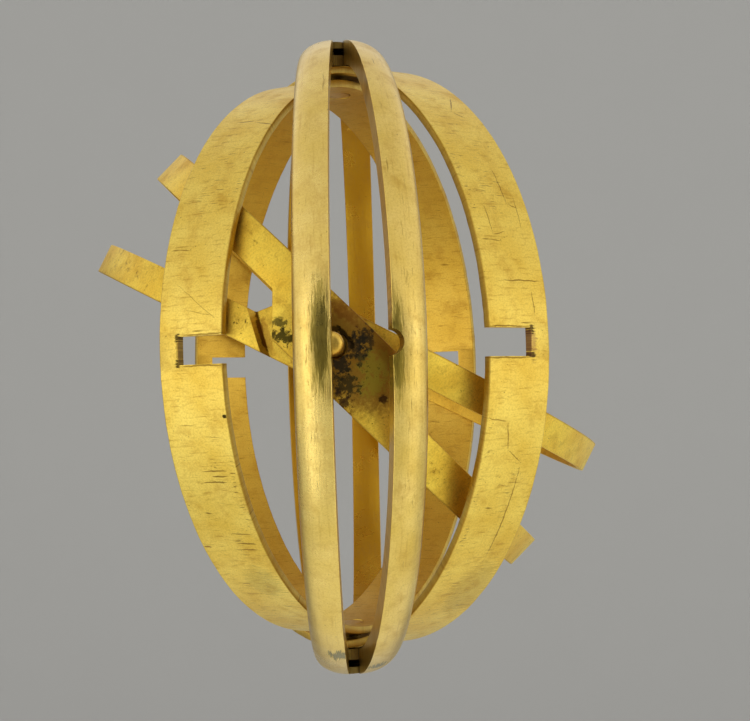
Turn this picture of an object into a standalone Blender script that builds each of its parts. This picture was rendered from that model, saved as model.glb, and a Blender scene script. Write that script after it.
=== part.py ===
"""Folding armillary finger ring: six gold hoops hinged on two crossed axes.

Units are metres and +Z is up. The origin is the centre of the sphere that the hoops open into.
The polar rivets lie on Z, the equatorial pins lie on Y, and the finger goes through along X.
Every hoop is modelled closed, in the YZ plane, where the six stack into one plain ring. Its
origin is at the centre, on both axes, so a single turn about its own axis opens it.
"""

import math

import bmesh
import bpy
from mathutils import Matrix, Vector

MM = 0.001

# Closed ring
RING_RADIUS = 12.0 * MM
RING_WIDTH = 2.45 * MM
HOOP_WALL = 0.90 * MM
CROWN_RISE = 0.72 * MM
FACET_DEPTH = 0.10 * MM
FRAME_EDGE_GAP = 0.02 * MM
SWING_EDGE_GAP = 0.05 * MM

# Flat strips
BAND_THICKNESS = 0.28 * MM
INNER_HOOP_THICKNESS = 0.25 * MM
LOWER_ARM_EDGE = 0.12 * MM
UPPER_ARM_EDGE = -0.06 * MM
INNER_HOOP_FLAT = 0.30 * MM

# Play between one hoop and the next
NEST_CLEARANCE = 0.04 * MM
BAND_CLEARANCE = 0.15 * MM
RUNNING_CLEARANCE = 0.05 * MM
SEAT_CLEARANCE = 0.02 * MM

# Half-lap of the two outer hoops at each pole
LAP_RADIUS = 1.9 * MM
LAP_SPLIT = 0.47 * MM
LAP_CLEARANCE = 0.06 * MM
LAP_RELIEF_REACH = 0.45 * MM
LAP_RELIEF_DEPTH = 0.24 * MM

# Polar rivets
RIVET_RADIUS = 0.35 * MM
RIVET_HEAD_RADIUS = 0.62 * MM
RIVET_HEAD_HEIGHT = 0.20 * MM
RIVET_SEAT_DEPTH = 0.12 * MM
RIVET_TAIL_FLARE = 0.15 * MM
RIVET_TAIL_DEPTH = 0.20 * MM

# Equatorial pins
PIN_RADIUS = 0.36 * MM
PIN_TAIL_RADIUS = 0.62 * MM
PIN_TAIL_HEIGHT = 0.20 * MM
PIN_CHAMFER = 0.06 * MM
EAR_HOLE_CLEARANCE = 0.08 * MM
SWING_NOTCH_CLEARANCE = 0.05 * MM
BAND_NOTCH_CLEARANCE = 0.10 * MM

# Crossing of the two inner hoops at each equatorial pin
EAR_REACH = 1.57 * MM
JOGGLE_GAP = 0.20 * MM
JOGGLE_RUN = 0.25 * MM

# Opening of each hoop from the closed ring, in degrees
SWING_HOOP_OPEN = 8.7
LARGE_BAND_OPEN = 32.7
SMALL_BAND_OPEN = -26.3
LOWER_HOOP_OPEN = -62.2
UPPER_HOOP_OPEN = -44.5

# Facets
SHARP_EDGE = 35.0
HOOP_STEPS = 96
CROWN_STEPS = 12
PIN_STEPS = 24
SCREW_MERGE = 1e-7
WELD = 1e-8

# Worked out from the sizes above, from the outside in
HALF_WIDTH = RING_WIDTH / 2
BEYOND = RING_RADIUS + RING_WIDTH
BORE_RADIUS = RING_RADIUS - HOOP_WALL
LAP_HEIGHT = BORE_RADIUS + LAP_SPLIT


def nested_radius(bore, clearance):
    """Outer radius of a hoop that can turn every way inside a bore: its corners sweep a sphere."""
    return math.sqrt((bore - clearance) ** 2 - HALF_WIDTH**2)


LARGE_BAND_RADIUS = nested_radius(BORE_RADIUS, NEST_CLEARANCE)
SMALL_BAND_RADIUS = nested_radius(LARGE_BAND_RADIUS - BAND_THICKNESS, BAND_CLEARANCE)
SMALL_BAND_BORE = SMALL_BAND_RADIUS - BAND_THICKNESS
INNER_HOOP_RADIUS = nested_radius(SMALL_BAND_BORE, NEST_CLEARANCE)
LOWER_EAR_RADIUS = nested_radius(INNER_HOOP_RADIUS - INNER_HOOP_THICKNESS, NEST_CLEARANCE)
LOWER_EAR_BORE = LOWER_EAR_RADIUS - INNER_HOOP_THICKNESS


def new_collection(name):
    collection = bpy.data.collections.new(name)
    bpy.context.scene.collection.children.link(collection)
    return collection


def new_object(name, mesh, collection):
    obj = bpy.data.objects.new(name, mesh)
    collection.objects.link(obj)
    return obj


def mesh_from(bm, name):
    """The finished mesh of a bmesh, smooth except at its real edges."""
    mesh = bpy.data.meshes.new(name)
    bm.to_mesh(mesh)
    bm.free()
    mesh.shade_smooth()
    mesh.set_sharp_from_angle(angle=math.radians(SHARP_EDGE))
    return mesh


def gold(name, colour, roughness):
    """Worked yellow gold."""
    material = bpy.data.materials.new(name)
    material.use_nodes = True
    shader = material.node_tree.nodes["Principled BSDF"]
    shader.inputs["Base Color"].default_value = (*colour, 1.0)
    shader.inputs["Metallic"].default_value = 1.0
    shader.inputs["Roughness"].default_value = roughness
    return material


def turned(name, profile, axis, steps, collection, closed=False, start=0.0):
    """A profile of (radius, height) points turned about X or Z, a closed one into a ring."""
    bm = bmesh.new()
    for radius, height in profile:
        bm.verts.new((height, 0.0, radius) if axis == "X" else (radius, 0.0, height))
    bm.verts.ensure_lookup_table()
    for first in range(len(profile) if closed else len(profile) - 1):
        bm.edges.new((bm.verts[first], bm.verts[(first + 1) % len(profile)]))
    bmesh.ops.rotate(bm, verts=bm.verts, matrix=Matrix.Rotation(start, 3, axis))
    obj = new_object(name, mesh_from(bm, name), collection)
    screw = obj.modifiers.new("Turn", "SCREW")
    screw.axis = axis
    screw.steps = steps
    screw.render_steps = steps
    screw.use_merge_vertices = True
    screw.merge_threshold = SCREW_MERGE
    screw.use_smooth_shade = True
    return obj


def make_cutter(obj):
    obj.hide_render = True
    obj.display_type = "WIRE"
    return obj


def box_cutter(name, low, high, collection):
    bm = bmesh.new()
    bmesh.ops.create_cube(bm, size=1.0)
    size = Vector(high) - Vector(low)
    bmesh.ops.scale(bm, vec=size, verts=bm.verts)
    bmesh.ops.translate(bm, vec=Vector(low) + size / 2, verts=bm.verts)
    return make_cutter(new_object(name, mesh_from(bm, name), collection))


def rod_cutter(name, radius, low, high, collection, steps=PIN_STEPS):
    """Plain rod along Z, turned by half a step so that its edges pass between those of the hoops."""
    bm = bmesh.new()
    size = {"radius1": radius, "radius2": radius, "depth": high - low}
    bmesh.ops.create_cone(bm, cap_ends=True, segments=steps, **size)
    bmesh.ops.rotate(bm, verts=bm.verts, matrix=Matrix.Rotation(math.pi / steps, 3, "Z"))
    bmesh.ops.translate(bm, vec=(0.0, 0.0, (low + high) / 2), verts=bm.verts)
    return make_cutter(new_object(name, mesh_from(bm, name), collection))


def cut(target, cutter):
    """Cut a piece, or another cutter, with a cutter that turns along with it."""
    boolean = target.modifiers.new(f"Cut {cutter.name}", "BOOLEAN")
    boolean.operation = "DIFFERENCE"
    boolean.object = cutter
    if cutter.parent is None:
        cutter.parent = target


def along_y(obj):
    """Lay something turned about Z along Y, with its top at the front."""
    obj.rotation_euler.x = math.radians(90)
    return obj


def turn_over(obj):
    """Turn a piece half a turn about X, from the top to the bottom or from the front to the back."""
    obj.rotation_euler.x += math.radians(180)
    return obj


def crown_profile():
    """Half-round section of the closed ring: a flat bore under an elliptical crown."""
    edge_radius = RING_RADIUS - CROWN_RISE
    section = [(BORE_RADIUS, -HALF_WIDTH), (BORE_RADIUS, HALF_WIDTH)]
    for step in range(CROWN_STEPS + 1):
        angle = math.pi * step / CROWN_STEPS
        section.append((edge_radius + CROWN_RISE * math.sin(angle), HALF_WIDTH * math.cos(angle)))
    return section


def outer_hoop(name, side, edge_gap, parts, cutters):
    """One half of the half-round ring: its front half on one side, its back half on the other.

    Side is -1 for the hoop whose front half lies on the left. The hoop keeps its full width within
    LAP_RADIUS of each pole, where it laps its partner.
    """
    hoop = turned(name, crown_profile(), "X", HOOP_STEPS, parts, closed=True)
    core_radius = LAP_RADIUS - LAP_CLEARANCE / 2
    core = rod_cutter(f"{name}_lap_core", core_radius, -2 * BEYOND, 2 * BEYOND, cutters, HOOP_STEPS)
    for where, facing in (("front", -1), ("back", 1)):
        removed = side * facing
        left, right = sorted((-edge_gap * removed, BEYOND * removed))
        front, back = sorted((0.0, BEYOND * facing))
        low_corner, high_corner = (left, front, -BEYOND), (right, back, BEYOND)
        quarter = box_cutter(f"{name}_{where}_quarter", low_corner, high_corner, cutters)
        cut(quarter, core)
        cut(hoop, quarter)
        front, back = sorted(((RING_RADIUS - FACET_DEPTH) * facing, BEYOND * facing))
        low_corner, high_corner = (-BEYOND, front, -BEYOND), (BEYOND, back, BEYOND)
        cut(hoop, box_cutter(f"{name}_{where}_facet", low_corner, high_corner, cutters))
    core.parent = hoop
    return hoop


def equator_hole(name, radius, cutters):
    """Cutter along Y that reaches both equatorial pins."""
    return along_y(rod_cutter(name, radius, -BEYOND, BEYOND, cutters))


def build_frame_hoop(parts, cutters):
    """The fixed outer hoop. Its laps are the outer ones, and its edges hold the equatorial pins."""
    hoop = outer_hoop("frame_hoop", -1, FRAME_EDGE_GAP, parts, cutters)
    lap_radius = LAP_RADIUS + LAP_CLEARANCE / 2
    under_lap = LAP_HEIGHT + LAP_CLEARANCE / 2
    cut(hoop, rod_cutter("frame_lap", lap_radius, -under_lap, under_lap, cutters, HOOP_STEPS))
    hole = RIVET_RADIUS + SEAT_CLEARANCE
    cut(hoop, rod_cutter("frame_rivet_hole", hole, -BEYOND, BEYOND, cutters))
    seat_radius = RIVET_HEAD_RADIUS + SEAT_CLEARANCE
    seat_floor = RING_RADIUS - RIVET_SEAT_DEPTH
    cut(hoop, rod_cutter("frame_top_seat", seat_radius, seat_floor, BEYOND, cutters))
    cut(hoop, turn_over(rod_cutter("frame_bottom_seat", seat_radius, seat_floor, BEYOND, cutters)))
    cut(hoop, equator_hole("frame_pin_seat", PIN_RADIUS + SEAT_CLEARANCE, cutters))
    return hoop


def swing_lap(name, cutters):
    """Cutter over the inner lap. It bevels the rim of the lap, which then runs clear of the outer lap."""
    rim = LAP_RADIUS + LAP_CLEARANCE / 2
    over_lap = LAP_HEIGHT - LAP_CLEARANCE / 2
    profile = [
        (0.0, BEYOND),
        (rim, BEYOND),
        (rim, over_lap - LAP_RELIEF_DEPTH),
        (LAP_RADIUS - LAP_RELIEF_REACH, over_lap),
        (0.0, over_lap),
    ]
    return make_cutter(turned(name, profile, "Z", HOOP_STEPS, cutters, start=math.pi / HOOP_STEPS))


def build_swing_hoop(parts, cutters):
    """The outer hoop that turns. Its laps are the inner ones, and its edges clear the equatorial pins."""
    hoop = outer_hoop("swing_hoop", 1, SWING_EDGE_GAP, parts, cutters)
    cut(hoop, swing_lap("swing_top_lap", cutters))
    cut(hoop, turn_over(swing_lap("swing_bottom_lap", cutters)))
    hole = RIVET_RADIUS + RUNNING_CLEARANCE
    cut(hoop, rod_cutter("swing_rivet_hole", hole, -BEYOND, BEYOND, cutters))
    cut(hoop, equator_hole("swing_pin_notch", PIN_RADIUS + SWING_NOTCH_CLEARANCE, cutters))
    return hoop


def rolled(name, outline, radius, thickness, parts, sink=None, extra_cuts=()):
    """A hoop cut flat from strip, rolled round and closed by a seam at the bottom.

    The outline holds (across, along) points, with the front at 0 along the strip, the top a quarter
    of its length on and the back at half. Sink gives how far a point is pressed in from the radius.
    Extra cuts are (point, normal) creases in the flat strip.
    """
    length = 2 * math.pi * radius
    start = -length / 4
    bm = bmesh.new()
    bm.faces.new([bm.verts.new((across, along, 0.0)) for across, along in outline])
    creases = [start + length * step / HOOP_STEPS for step in range(1, HOOP_STEPS)]
    creases += sorted({along for _, along in outline if abs(along - start) % length > WELD})
    planes = [(Vector((0.0, along, 0.0)), Vector((0.0, 1.0, 0.0))) for along in creases]
    for point, normal in [*planes, *extra_cuts]:
        everything = [*bm.verts, *bm.edges, *bm.faces]
        bmesh.ops.bisect_plane(bm, geom=everything, dist=WELD, plane_co=point, plane_no=normal)
    for vert in bm.verts:
        across, along, _ = vert.co
        reach = radius - (sink(across, along) if sink else 0.0)
        angle = along / radius
        vert.co = (across, -reach * math.cos(angle), reach * math.sin(angle))
    bmesh.ops.remove_doubles(bm, verts=bm.verts, dist=SCREW_MERGE)
    hoop = new_object(name, mesh_from(bm, name), parts)
    wall = hoop.modifiers.new("Strip", "SOLIDIFY")
    wall.thickness = thickness
    wall.offset = -1.0
    return hoop


def mirrored(outline, side):
    """The outline itself, or its mirror image across the strip for side -1, still anticlockwise."""
    if side > 0:
        return outline
    return [(-across, along) for across, along in reversed(outline)]


def build_band(name, radius, side, parts, cutters):
    """Full-width band whose front notch opens to the left, or to the right for side -1.

    Each notch lets the band close over an equatorial pin that stands in its way.
    """
    length = 2 * math.pi * radius
    half_back = length / 2
    notch = PIN_RADIUS + BAND_NOTCH_CLEARANCE
    outline = [
        (-HALF_WIDTH, -length / 4),
        (HALF_WIDTH, -length / 4),
        (HALF_WIDTH, half_back - notch),
        (-notch, half_back - notch),
        (-notch, half_back + notch),
        (HALF_WIDTH, half_back + notch),
        (HALF_WIDTH, length * 3 / 4),
        (-HALF_WIDTH, length * 3 / 4),
        (-HALF_WIDTH, notch),
        (notch, notch),
        (notch, -notch),
        (-HALF_WIDTH, -notch),
    ]
    band = rolled(name, mirrored(outline, side), radius, BAND_THICKNESS, parts)
    cut(band, rivet_hole(f"{name}_top_hole", cutters))
    cut(band, turn_over(rivet_hole(f"{name}_bottom_hole", cutters)))
    return band


def rivet_hole(name, cutters):
    """Running fit round a rivet's shank and round the tail that is spread in the innermost band."""
    shank = RIVET_RADIUS + RUNNING_CLEARANCE
    tail = shank + RIVET_TAIL_FLARE
    flare_top = SMALL_BAND_BORE + RIVET_TAIL_DEPTH
    inside = SMALL_BAND_BORE - BAND_THICKNESS
    profile = [
        (0.0, BEYOND),
        (shank, BEYOND),
        (shank, flare_top),
        (tail, SMALL_BAND_BORE),
        (tail, inside),
        (0.0, inside),
    ]
    return make_cutter(turned(name, profile, "Z", PIN_STEPS, cutters, start=math.pi / PIN_STEPS))


def build_rivet(name, parts):
    """Polar rivet: a low head let into the crown, and a tail spread flush inside the small band."""
    under_head = RING_RADIUS - RIVET_SEAT_DEPTH + SEAT_CLEARANCE
    top = under_head + RIVET_HEAD_HEIGHT
    profile = [
        (0.0, top),
        (RIVET_HEAD_RADIUS - RIVET_HEAD_HEIGHT / 2, top),
        (RIVET_HEAD_RADIUS, top - RIVET_HEAD_HEIGHT / 2),
        (RIVET_HEAD_RADIUS, under_head),
        (RIVET_RADIUS, under_head),
        (RIVET_RADIUS, SMALL_BAND_BORE + RIVET_TAIL_DEPTH),
        (RIVET_RADIUS + RIVET_TAIL_FLARE, SMALL_BAND_BORE),
        (0.0, SMALL_BAND_BORE),
    ]
    return turned(name, profile, "Z", PIN_STEPS, parts)


def build_pin(name, parts):
    """Equatorial pin: flush with the facet outside, with a peened tail under the lower hoop's ear."""
    end = RING_RADIUS - FACET_DEPTH
    tail_top = math.sqrt(LOWER_EAR_BORE**2 - PIN_TAIL_RADIUS**2) - RUNNING_CLEARANCE
    tail_end = tail_top - PIN_TAIL_HEIGHT
    profile = [
        (0.0, end),
        (PIN_RADIUS - PIN_CHAMFER, end),
        (PIN_RADIUS, end - PIN_CHAMFER),
        (PIN_RADIUS, tail_top),
        (PIN_TAIL_RADIUS, tail_top),
        (PIN_TAIL_RADIUS, tail_end + PIN_CHAMFER),
        (PIN_TAIL_RADIUS - PIN_CHAMFER, tail_end),
        (0.0, tail_end),
    ]
    return along_y(turned(name, profile, "Z", PIN_STEPS, parts))


def inner_outline(side, arm_edge):
    """Narrow strip with full-width ears at front and back, joined by 45 degree shoulders.

    For side 1 the upper arm lies on the right and the lower arm on the left. Each arm starts
    arm_edge out from the middle of the ring.
    """
    length = 2 * math.pi * INNER_HOOP_RADIUS
    half_back = length / 2
    shoulder = EAR_REACH + HALF_WIDTH + arm_edge
    outline = [
        (-HALF_WIDTH, -length / 4),
        (-arm_edge, -length / 4),
        (-arm_edge, -shoulder),
        (HALF_WIDTH, -EAR_REACH),
        (HALF_WIDTH, half_back + EAR_REACH),
        (-arm_edge, half_back + shoulder),
        (-arm_edge, length * 3 / 4),
        (-HALF_WIDTH, length * 3 / 4),
        (-HALF_WIDTH, half_back - EAR_REACH),
        (arm_edge, half_back - shoulder),
        (arm_edge, shoulder),
        (-HALF_WIDTH, EAR_REACH),
    ]
    return mirrored(outline, side)


def out_of_round(along):
    """How far both inner hoops are pressed in on the half that opens to the left."""
    return INNER_HOOP_FLAT * max(math.sin(along / INNER_HOOP_RADIUS), 0.0) ** 4


def build_upper_hoop(parts, cutters):
    """The inner hoop whose ears lie outside."""

    def sink(across, along):
        return out_of_round(along)

    outline = inner_outline(1, UPPER_ARM_EDGE)
    hoop = rolled("upper_hoop", outline, INNER_HOOP_RADIUS, INNER_HOOP_THICKNESS, parts, sink)
    cut(hoop, equator_hole("upper_pin_hole", PIN_RADIUS + EAR_HOLE_CLEARANCE, cutters))
    return hoop


def build_lower_hoop(parts, cutters):
    """The inner hoop whose ears are joggled inwards, under those of its partner.

    Each joggle runs at 45 degrees across its arm, along the partner's shoulder when the ring is closed.
    """
    half_back = math.pi * INNER_HOOP_RADIUS
    drop = INNER_HOOP_RADIUS - LOWER_EAR_RADIUS
    ear_end = EAR_REACH + JOGGLE_GAP + HALF_WIDTH
    arm_start = ear_end + JOGGLE_RUN

    def sink(across, along):
        from_front = abs(along - across)
        from_back = abs(along - half_back + across)
        into_ear = (arm_start - min(from_front, from_back)) / JOGGLE_RUN
        return drop * min(max(into_ear, 0.0), 1.0) + out_of_round(along)

    creases = []
    for centre, slant in ((0.0, -1.0), (half_back, 1.0)):
        for reach in (-arm_start, -ear_end, ear_end, arm_start):
            creases.append((Vector((0.0, centre + reach, 0.0)), Vector((slant, 1.0, 0.0)).normalized()))
    outline = inner_outline(-1, LOWER_ARM_EDGE)
    hoop = rolled("lower_hoop", outline, INNER_HOOP_RADIUS, INNER_HOOP_THICKNESS, parts, sink, creases)
    cut(hoop, equator_hole("lower_pin_hole", PIN_RADIUS + EAR_HOLE_CLEARANCE, cutters))
    return hoop


def axis_empty(name, parts):
    """Empty at the centre that the hoops of one axis turn on."""
    axis = new_object(name, None, parts)
    axis.empty_display_size = RING_RADIUS
    return axis


def main():
    for obj in list(bpy.data.objects):
        bpy.data.objects.remove(obj, do_unlink=True)
    parts = new_collection("armillary_ring")
    cutters = new_collection("cutters")

    frame_hoop = build_frame_hoop(parts, cutters)
    swing_hoop = build_swing_hoop(parts, cutters)
    large_band = build_band("large_band", LARGE_BAND_RADIUS, 1, parts, cutters)
    small_band = build_band("small_band", SMALL_BAND_RADIUS, -1, parts, cutters)
    upper_hoop = build_upper_hoop(parts, cutters)
    lower_hoop = build_lower_hoop(parts, cutters)
    pins = [
        build_rivet("top_rivet", parts),
        turn_over(build_rivet("bottom_rivet", parts)),
        build_pin("front_pin", parts),
        turn_over(build_pin("back_pin", parts)),
    ]

    polar_axis = axis_empty("polar_axis", parts)
    for hoop, degrees in (
        (swing_hoop, SWING_HOOP_OPEN),
        (large_band, LARGE_BAND_OPEN),
        (small_band, SMALL_BAND_OPEN),
    ):
        hoop.parent = polar_axis
        hoop.rotation_euler.z = math.radians(degrees)
    equator_axis = axis_empty("equator_axis", parts)
    for hoop, degrees in ((lower_hoop, LOWER_HOOP_OPEN), (upper_hoop, UPPER_HOOP_OPEN)):
        hoop.parent = equator_axis
        hoop.rotation_euler.y = math.radians(degrees)
    for piece in (*pins, polar_axis, equator_axis):
        piece.parent = frame_hoop

    champagne = gold("half_round_gold", (0.72, 0.50, 0.19), 0.32)
    satin = gold("strip_gold", (0.68, 0.43, 0.11), 0.38)
    wire = gold("pin_gold", (0.74, 0.50, 0.16), 0.28)
    for hoop in (frame_hoop, swing_hoop):
        hoop.data.materials.append(champagne)
    for hoop in (large_band, small_band, lower_hoop, upper_hoop):
        hoop.data.materials.append(satin)
    for pin in pins:
        pin.data.materials.append(wire)


main()
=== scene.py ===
# %% [markdown]
# # A finger ring that opens into an armillary sphere
# Six gold hoops turn on two crossed axes. Folded, they stack into one plain finger ring. Fanned
# out, as here, they stand for the circles of the sky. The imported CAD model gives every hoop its
# place and its joint. This lesson gives the hoops their softened edges and their worn gold.

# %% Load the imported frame
import math

import bmesh
import bpy
from mathutils import Matrix, Vector, noise


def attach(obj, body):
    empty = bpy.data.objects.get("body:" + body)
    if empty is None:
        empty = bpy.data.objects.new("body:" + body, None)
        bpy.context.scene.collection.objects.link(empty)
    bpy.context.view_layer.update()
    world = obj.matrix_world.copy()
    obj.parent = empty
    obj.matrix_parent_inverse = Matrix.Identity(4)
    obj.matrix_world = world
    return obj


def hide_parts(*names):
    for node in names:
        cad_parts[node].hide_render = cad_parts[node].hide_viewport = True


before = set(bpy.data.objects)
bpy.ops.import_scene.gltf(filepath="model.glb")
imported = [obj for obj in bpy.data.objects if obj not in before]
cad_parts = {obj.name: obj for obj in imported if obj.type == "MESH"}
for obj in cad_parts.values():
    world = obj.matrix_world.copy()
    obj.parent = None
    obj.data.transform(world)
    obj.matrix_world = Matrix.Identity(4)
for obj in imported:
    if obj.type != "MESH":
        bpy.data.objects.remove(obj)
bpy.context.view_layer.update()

# %% [markdown]
# ## Where the camera stood
# The photograph was taken from close by, a little below the middle of the sphere and almost
# square to the front pin. The distance was found from how much smaller the back hoops look than
# the front ones. A lens this long shows the sphere at the size it has in the picture, and a small
# shift moves the middle of the picture without turning the camera.

# %% Camera
MM = 0.001
PICTURE = (750, 721)
CAMERA_AZIMUTH = 1.638
CAMERA_ELEVATION = -2.099
CAMERA_ROLL = 1.485
CAMERA_DISTANCE = 53.954 * MM
PIXELS_PER_MM = 25.771
SPHERE_CENTRE = (343.236, 357.0)
SENSOR = 36.0

camera = bpy.data.cameras.new("Camera")
camera.sensor_width = SENSOR
camera.lens = SENSOR * (CAMERA_DISTANCE / MM) * PIXELS_PER_MM / PICTURE[0]
camera.clip_start = MM
camera.clip_end = 10.0
camera.shift_x = (PICTURE[0] / 2 - SPHERE_CENTRE[0]) / PICTURE[0]
camera.shift_y = (SPHERE_CENTRE[1] - PICTURE[1] / 2) / PICTURE[0]
azimuth = math.radians(CAMERA_AZIMUTH)
elevation = math.radians(CAMERA_ELEVATION)
to_camera = Vector((math.sin(azimuth), -math.cos(azimuth), 0.0)) * math.cos(elevation)
to_camera.z = math.sin(elevation)
look = (-to_camera).to_track_quat("-Z", "Y").to_matrix().to_4x4()
roll = Matrix.Rotation(-math.radians(CAMERA_ROLL), 4, "Z")
camera_object = bpy.data.objects.new("Camera", camera)
camera_object.matrix_world = Matrix.Translation(to_camera * CAMERA_DISTANCE) @ look @ roll
bpy.context.scene.collection.objects.link(camera_object)
bpy.context.scene.camera = camera_object
bpy.context.scene.view_settings.view_transform = "Standard"
print(f"lens {camera.lens:.1f} mm at {CAMERA_DISTANCE / MM:.0f} mm")

# %% [markdown]
# ## Two small tools for every material
# Colours are written as the sRGB hex values that a colour picker shows, but shaders calculate
# with linear light, so one function converts them. Another adds a node, fills in its settings and
# links what it reads. With those two, a material reads from top to bottom like a recipe.

# %% Colour and node tools


def linear(hex_colour):
    """An sRGB hex colour as linear RGBA."""
    channels = [int(hex_colour[place:place + 2], 16) / 255 for place in (1, 3, 5)]
    light = [c / 12.92 if c <= 0.04045 else ((c + 0.055) / 1.055) ** 2.4 for c in channels]
    return (*light, 1.0)


def add_node(tree, kind, inputs, **settings):
    """Add a node with its settings. An input takes a number or colour, or a socket to link."""
    added = tree.nodes.new(kind)
    for setting, value in settings.items():
        setattr(added, setting, value)
    for socket, value in inputs.items():
        if isinstance(value, bpy.types.NodeSocket):
            tree.links.new(value, added.inputs[socket])
        else:
            added.inputs[socket].default_value = value
    return added


print("grey card is", [round(channel, 3) for channel in linear("#9E9C99")[:3]])

# %% [markdown]
# ## A graduated sweep
# The ring is held up in the air over a sheet of paper that is pale on the floor and turns grey before
# it bends up into the background. The pale part sends light back up, so the lower half of the sphere
# is as bright as the upper half, and no edge or horizon shows behind it. Far to the right, where the
# camera doesn't look, it is pale again and lights the ends of the hoops. One material does all of this,
# with a tone that follows the place on the sheet.

# %% Sweep paper
FLOOR = -0.20
WALL = 0.33
WALL_TOP = 0.18
BEND = 0.06
SWEEP_SIDE = 0.9
SWEEP_FRONT = -1.2
GREY_BEHIND = (WALL - 0.22, WALL - BEND)
PALE_SIDE = (0.15, 0.23)
PALE_PAPER = "#F2F5F0"
GREY_PAPER = "#AEADAC"
PAPER_FLECK = "#8E8C88"
FIBRES_PER_METRE = 60.0


def graduated_paper():
    """Matt photographic paper: even tone with fibres of about 15 mm, drawn that coarse so they show."""
    material = bpy.data.materials.new("graduated_matt_paper")
    material.use_nodes = True
    tree = material.node_tree
    shader = tree.nodes["Principled BSDF"]
    place = add_node(tree, "ShaderNodeTexCoord", {}).outputs["Object"]
    pulp = {"Vector": place, "Scale": FIBRES_PER_METRE, "Detail": 3.0}
    fibre = add_node(tree, "ShaderNodeTexNoise", pulp).outputs[0]
    split = add_node(tree, "ShaderNodeSeparateXYZ", {0: place})
    ramp = {0: split.outputs["Y"], 1: GREY_BEHIND[0], 2: GREY_BEHIND[1]}
    turned_grey = add_node(tree, "ShaderNodeMapRange", ramp, interpolation_type="SMOOTHSTEP").outputs[0]
    sideways = {0: split.outputs["X"], 1: PALE_SIDE[0], 2: PALE_SIDE[1], 3: 1.0, 4: 0.0}
    in_view = add_node(tree, "ShaderNodeMapRange", sideways, interpolation_type="SMOOTHSTEP").outputs[0]
    grey = add_node(tree, "ShaderNodeMath", {0: turned_grey, 1: in_view}, operation="MULTIPLY").outputs[0]
    tone = {0: grey, 6: linear(PALE_PAPER), 7: linear(GREY_PAPER)}
    paper = add_node(tree, "ShaderNodeMix", tone, data_type="RGBA").outputs[2]
    speckle = add_node(tree, "ShaderNodeMapRange", {0: fibre, 4: 0.05}).outputs[0]
    flecks = {0: speckle, 6: paper, 7: linear(PAPER_FLECK)}
    flecked = add_node(tree, "ShaderNodeMix", flecks, data_type="RGBA")
    tree.links.new(flecked.outputs[2], shader.inputs["Base Color"])
    shader.inputs["Roughness"].default_value = 0.95
    shader.inputs["Specular IOR Level"].default_value = 0.1
    return material


print(f"paper turns grey from {GREY_BEHIND[0]:.2f} to {GREY_BEHIND[1]:.2f} m behind the ring")

# %% [markdown]
# Bent paper is a fold with a wide bevel. Three points give its outline from the side. Extruding the two
# edges between them sideways gives the floor and the wall, and a bevel of the fold makes the bend.

# %% Sweep
bm = bmesh.new()
corners = ((SWEEP_FRONT, FLOOR), (WALL, FLOOR), (WALL, WALL_TOP))
edge = [bm.verts.new((-SWEEP_SIDE, y, z)) for y, z in corners]
edges = [bm.edges.new(pair) for pair in zip(edge, edge[1:])]
grown = bmesh.ops.extrude_edge_only(bm, edges=edges)["geom"]
far_side = [part for part in grown if isinstance(part, bmesh.types.BMVert)]
bmesh.ops.translate(bm, vec=(2 * SWEEP_SIDE, 0.0, 0.0), verts=far_side)
fold = [e for e in bm.edges if len(e.link_faces) == 2]
bmesh.ops.bevel(bm, geom=fold, offset=BEND, segments=24, profile=0.5, affect="EDGES", material=-1)
bmesh.ops.recalc_face_normals(bm, faces=bm.faces)
mesh = bpy.data.meshes.new("graduated_sweep")
bm.to_mesh(mesh)
bm.free()
mesh.shade_smooth()
mesh.materials.append(graduated_paper())
sweep = bpy.data.objects.new("graduated_sweep", mesh)
bpy.context.scene.collection.objects.link(sweep)
print(f"floor {FLOOR} m, wall {WALL} m behind the ring")

# %% [markdown]
# ## Soft light, and a dark lens
# Metal shows what stands around it. Here that is a pale room on every side, a soft box on the left,
# another on the right, a weak one under it, and the dark front of a close lens. The lens is why
# the faces that look straight at the camera turn dark and olive, while all the others stay bright. The
# ceiling is a little duller than the walls, as it was in the photograph.

# %% Room light
ROOM = "#FFFEFB"
LENS_DARK = "#33312A"
LENS_WAY = (0.03, -1.0, -0.04)
LENS_REACH = (0.865, 0.965)
CEILING = "#DEDDDA"
CEILING_REACH = (0.1, 0.9)
ROOM_STRENGTH = 1.1

world = bpy.data.worlds.new("pale_room")
world.use_nodes = True
bpy.context.scene.world = world
tree = world.node_tree
direction = add_node(tree, "ShaderNodeTexCoord", {}).outputs["Generated"]
towards_lens = {0: direction, 1: LENS_WAY}
facing = add_node(tree, "ShaderNodeVectorMath", towards_lens, operation="DOT_PRODUCT")
reach = {0: facing.outputs["Value"], 1: LENS_REACH[0], 2: LENS_REACH[1]}
lens = add_node(tree, "ShaderNodeMapRange", reach, interpolation_type="SMOOTHSTEP").outputs[0]
height = add_node(tree, "ShaderNodeSeparateXYZ", {0: direction}).outputs["Z"]
rising = {0: height, 1: CEILING_REACH[0], 2: CEILING_REACH[1]}
overhead = add_node(tree, "ShaderNodeMapRange", rising).outputs[0]
walls_to_ceiling = {0: overhead, 6: linear(ROOM), 7: linear(CEILING)}
room = add_node(tree, "ShaderNodeMix", walls_to_ceiling, data_type="RGBA").outputs[2]
room_and_lens = {0: lens, 6: room, 7: linear(LENS_DARK)}
seen = add_node(tree, "ShaderNodeMix", room_and_lens, data_type="RGBA").outputs[2]
background = tree.nodes["Background"]
tree.links.new(seen, background.inputs["Color"])
background.inputs["Strength"].default_value = ROOM_STRENGTH
print("room light", ROOM_STRENGTH)

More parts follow.
